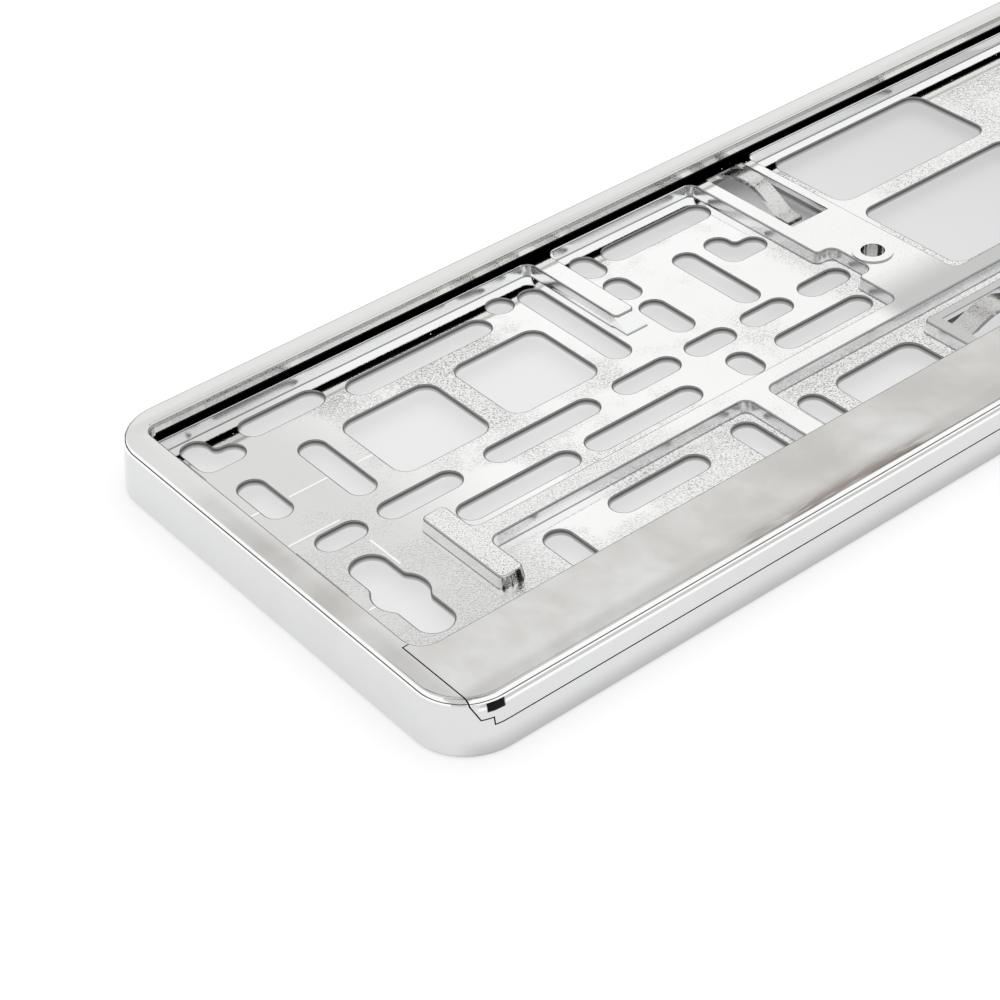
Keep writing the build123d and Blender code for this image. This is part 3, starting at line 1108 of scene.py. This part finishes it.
@dataclass(frozen=True)
class Studio:
    """White floor under a white surround, a soft light overhead, and cards that the chrome reflects."""

    floor_half: float = 3.0
    floor_tone: float = 0.92
    floor_glow: float = 0.62
    shaded_x: float = 260.0 * MM
    shaded_y: float = 60.5 * MM
    shaded_glow: float = 0.84
    shaded_level: Pair = (0.80, 0.64)
    shaded_fade: Pair = (-0.16, 0.02)
    bore_place: Pair = BORE_PLACE
    bore_reach: float = 6.0 * MM
    bore_loss: float = 0.4
    tongue_middle: Pair = mm(81.0, 44.0)
    tongue_reach: Pair = mm(10.0, 22.0)
    tongue_loss: float = 0.85
    surround: float = 1.0
    lighting: float = 0.72
    light_size: float = 2.1
    light_height: float = 1.45
    light_watts: float = 17.0
    cards: tuple[Card, ...] = (
        Card("low_card", 2.6, (0.0, 360.0), (0.02, 0.44), (0.01, 0.01)),
        Card("fading_card", 2.6, (0.0, 360.0), (0.44, 0.84), (0.01, 1.0)),
        Card("high_card", 2.2, (10.0, 85.0), (2.62, 3.1), (0.05, 0.05)),
    )

    def build(self) -> None:
        """Make the floor, the surround, the light and the cards."""
        self.lay_floor()
        self.light_surround()
        self.hang_light()
        for card in self.cards:
            card.build()
        CeilingDisc().build()

    def lay_floor(self) -> None:
        """Lay the floor that the holder lies on."""
        half = self.floor_half
        mesh = bpy.data.meshes.new("studio_floor")
        corners = [(-half, -half, 0.0), (half, -half, 0.0), (half, half, 0.0), (-half, half, 0.0)]
        mesh.from_pydata(corners, [], [(0, 1, 2, 3)])
        mesh.materials.append(self.floor_material())
        floor = new_object("studio_floor", mesh)

    def floor_material(self) -> Material:
        """Build the floor's white, greyer with painted shade where it shows through the holder, and clear
        from below.

        Returns:
            The new material.
        """
        material, sheet = new_material("white_floor")
        x, y = sheet.split(sheet.coordinates())[:2]
        along = sheet.maths("LESS_THAN", sheet.maths("ABSOLUTE", x), self.shaded_x)
        across = sheet.maths("LESS_THAN", sheet.maths("ABSOLUTE", y), self.shaded_y)
        under = sheet.times(along, across)
        share = sheet.ramp(under, 0.0, 1.0, self.floor_glow, self.shaded_glow)
        shown = sheet.times(self.seen_rays(sheet), share, self.lit_nodes(sheet, x, y))
        # Painted shade on the ground under the holder, deeper towards +X.
        level = sheet.ramp(x, *self.shaded_fade, *self.shaded_level)
        lost = sheet.times(under, sheet.maths("SUBTRACT", 1.0, level))
        white = (self.floor_tone, self.floor_tone, self.floor_tone, 1.0)
        diffuse = sheet.add("ShaderNodeBsdfDiffuse", {"Color": white}).outputs["BSDF"]
        glow = sheet.add("ShaderNodeEmission", {"Strength": sheet.maths("SUBTRACT", 1.0, lost)})
        lit = sheet.add("ShaderNodeMixShader", {0: shown, 1: diffuse, 2: glow.outputs["Emission"]})
        behind = sheet.add("ShaderNodeNewGeometry").outputs["Backfacing"]
        clear = sheet.add("ShaderNodeBsdfTransparent").outputs["BSDF"]
        both = sheet.add("ShaderNodeMixShader", {0: behind, 1: lit.outputs["Shader"], 2: clear})
        sheet.surface(both.outputs["Shader"])
        return material

    def lit_nodes(self, sheet: NodeSheet, x: Socket, y: Socket) -> Socket:
        """Leave the ground in the screw bores and under the spring tongues to the real light.

        Args:
            sheet: The floor's node sheet.
            x: Place along X.
            y: Place along Y.

        Returns:
            How much of the ground's glow is kept.
        """
        outward = sheet.maths("ABSOLUTE", x)
        beside = sheet.maths("SUBTRACT", outward, self.bore_place[0])
        above = sheet.maths("SUBTRACT", y, self.bore_place[1])
        apart = sheet.maths("MULTIPLY_ADD", above, above, sheet.times(beside, beside))
        bore = sheet.times(sheet.maths("LESS_THAN", apart, self.bore_reach**2), self.bore_loss)
        along = sheet.maths("COMPARE", outward, self.tongue_middle[0], self.tongue_reach[0])
        across = sheet.maths("COMPARE", y, self.tongue_middle[1], self.tongue_reach[1])
        tongue = sheet.times(along, across, self.tongue_loss)
        return sheet.maths("SUBTRACT", 1.0, sheet.maths("MAXIMUM", bore, tongue))

    @staticmethod
    def seen_rays(sheet: NodeSheet) -> Socket:
        """Pick out the rays that show the background.

        Args:
            sheet: The node sheet to add to.

        Returns:
            1 for camera, glossy and transmission rays, and 0 for the rest.
        """
        path = sheet.add("ShaderNodeLightPath").outputs
        seen = sheet.maths("MAXIMUM", path["Is Camera Ray"], path["Is Glossy Ray"])
        return sheet.maths("MAXIMUM", seen, path["Is Transmission Ray"])

    def light_surround(self) -> None:
        """Make the surround an even white, which lights the holder more softly than it looks."""
        world = bpy.data.worlds.new("studio_surround")
        bpy.context.scene.world = world
        world.use_nodes = True
        sheet = NodeSheet(world.node_tree)
        level = sheet.ramp(self.seen_rays(sheet), 0.0, 1.0, self.lighting, self.surround)
        glow = sheet.add("ShaderNodeBackground", {"Color": (1.0, 1.0, 1.0, 1.0), "Strength": level})
        sheet.add("ShaderNodeOutputWorld", {"Surface": glow.outputs["Background"]})

    def hang_light(self) -> None:
        """Hang the soft light over the holder."""
        data = bpy.data.lights.new("soft_light", "AREA")
        data.shape = "SQUARE"
        data.size = self.light_size
        data.energy = self.light_watts
        light = new_object("soft_light", data)
        light.location = (0.0, 0.0, self.light_height)
        light.visible_glossy = False


@dataclass(frozen=True)
class PhotoCamera:
    """Camera at the photograph's place, in metres."""

    place: Triple = (-0.46797, -0.37001, 0.34896)
    right: Triple = (0.78207, -0.61987, -0.06422)
    up: Triple = (0.42031, 0.44858, 0.78875)
    lens: float = 92.05
    sensor: float = 36.0
    nearest: float = 0.01

    def build(self) -> None:
        """Make the camera and hand it to the scene."""
        data = bpy.data.cameras.new("photo_camera")
        data.lens = self.lens
        data.sensor_width = self.sensor
        data.clip_start = self.nearest
        camera = new_object("photo_camera", data)
        right = Vector(self.right).normalized()
        back = right.cross(Vector(self.up)).normalized()
        up = back.cross(right)
        turn = Matrix((right, up, back)).transposed()
        camera.matrix_world = Matrix.Translation(self.place) @ turn.to_4x4()
        bpy.context.scene.camera = camera


# Painted reflection: the platform's top turns darker towards the front.
PAINTED_PLATFORM_REFLECTION = PaintedLightBand(
    mm(8.4, 8.6), (0.0, 0.85), (0.50, 0.50, 0.49), mm(-2.0, -17.0), mm(-2.0, -1.0, 95.0, 103.0)
)
# Painted reflection: a black patch high on the strip's front near each end.
PAINTED_END_REFLECTION = PaintedLightBand(
    mm(10.35, 10.5), (0.0, 1.0), (0.012, 0.012, 0.012), STRIP_FRONT, mm(253.0, 253.4, 257.0, 257.3)
)
OUTER_CHROME = ChromeFinish(
    "outer_chrome",
    (0.77, 0.77, 0.762),
    (0.465, 0.447, 0.413),
    0.7,
    (0.02, 0.09),
    # Painted reflection streak along the rim.
    painted_reflection_share=0.5,
)
INNER_CHROME = ChromeFinish(
    "inner_chrome",
    (0.95, 0.96, 0.96),
    (0.86, 0.865, 0.86),
    0.4,
    (0.16, 0.22),
    bands=(
        # Painted shade along the foot of the walls, and painted dark reflection from the bars' top edges
        # upward.
        PaintedLightBand(mm(5.72, 6.1), (0.75, 0.0)),
        PaintedLightBand(mm(8.32, 8.5), (0.0, 0.6)),
    ),
)
GRAINED_CHROME = ChromeFinish(
    "grained_chrome",
    (0.95, 0.95, 0.945),
    (0.88, 0.875, 0.86),
    0.4,
    (0.03, 0.10),
    grain=0.14,
    least_grain=0.01,
    pits=0.62,
    worn_share=0.7,
    end_share=0.85,
    bands=(PAINTED_PLATFORM_REFLECTION,),
)
TEXTURED_CHROME = ChromeFinish(
    "textured_chrome",
    (0.82, 0.815, 0.80),
    (0.64, 0.63, 0.61),
    0.3,
    (0.08, 0.14),
    grain=0.10,
    least_grain=0.35,
    pits=0.4,
    bands=(
        # Painted reflection darkening the upper part of the lip walls, and a painted highlight along
        # their top.
        PaintedLightBand(mm(12.3, 12.7), (0.0, 0.65), (0.36, 0.35, 0.32)),
        PaintedLightBand(mm(13.3, 13.45), (0.0, 0.9), (0.95, 0.95, 0.945)),
    ),
)
BACK_CHROME = ChromeFinish(
    "back_chrome", (0.52, 0.52, 0.515), (0.40, 0.40, 0.39), 0.7, (0.30, 0.42), ripple=0.02
)
# Painted shade: a darker copy of the chrome for the walls of the floor's slots, black towards their top.
SHADED_EDGE_CHROME = ChromeFinish(
    "shaded_edge_chrome",
    (0.60, 0.60, 0.595),
    (0.50, 0.50, 0.49),
    0.6,
    (0.12, 0.20),
    bands=(PaintedLightBand(mm(4.2, 5.3), (0.0, 0.86)),),
)
SKIRT_CHROME = ChromeFinish(
    "skirt_chrome",
    (0.735, 0.74, 0.74),
    (0.68, 0.682, 0.675),
    0.5,
    (0.05, 0.10),
    bands=(
        # Painted shade darkening the front skirt towards its foot, a painted contact shadow along the
        # foot, a painted highlight band and a painted dark reflection line on the strip's front, and the
        # painted end reflections.
        PaintedLightBand(mm(0.4, 5.6), (0.6, 0.0), (0.38, 0.38, 0.375), mm(-61.0, -66.0)),
        PaintedLightBand(mm(0.35, 0.9), (0.65, 0.0), (0.22, 0.22, 0.215)),
        PaintedLightBand(mm(11.05, 11.25), (0.0, 0.9), (0.97, 0.97, 0.965), STRIP_FRONT),
        PaintedLightBand(mm(11.8, 12.0), (0.0, 0.7), (0.40, 0.40, 0.39), STRIP_FRONT),
        PAINTED_END_REFLECTION,
    ),
)
SPRING_CHROME = ChromeFinish(
    "spring_chrome",
    (0.72, 0.715, 0.70),
    (0.48, 0.472, 0.455),
    0.5,
    (0.08, 0.14),
    grain=0.10,
    least_grain=0.5,
    pits=0.3,
)
# Brightest chrome: a painted highlight on the rim's rounded edges, and the bright chrome of the beads and
# of the outer raised lines.
POLISHED_HIGHLIGHT_CHROME = ChromeFinish(
    "polished_highlight_chrome", (0.97, 0.97, 0.965), (0.90, 0.90, 0.89), 0.3, (0.02, 0.05), ripple=0.005
)
STREAKED_CHROME = ChromeFinish(
    "streaked_chrome",
    (0.92, 0.92, 0.915),
    (0.80, 0.80, 0.79),
    0.3,
    (0.04, 0.08),
    ripple=0.03,
    streaks=0.95,
)
FINISHES = (
    OUTER_CHROME,
    INNER_CHROME,
    GRAINED_CHROME,
    TEXTURED_CHROME,
    BACK_CHROME,
    SHADED_EDGE_CHROME,
    SKIRT_CHROME,
    SPRING_CHROME,
    POLISHED_HIGHLIGHT_CHROME,
    STREAKED_CHROME,
)


def main() -> None:
    """Build the mouldings, the studio and the camera in order."""
    logging.basicConfig(level=logging.INFO, format="%(name)s %(message)s")
    bpy.context.scene.view_settings.view_transform = "Standard"
    base = PlatedMoulding("base_frame", "base", "chrome", FINISHES)
    base.build()
    PlatedMoulding("retaining_strip", "strip", "chrome", FINISHES).build()
    PlatingBeads(base.piece, "base", "chrome", POLISHED_HIGHLIGHT_CHROME).build()
    Studio().build()
    PhotoCamera().build()


if __name__ == "__main__":
    main()
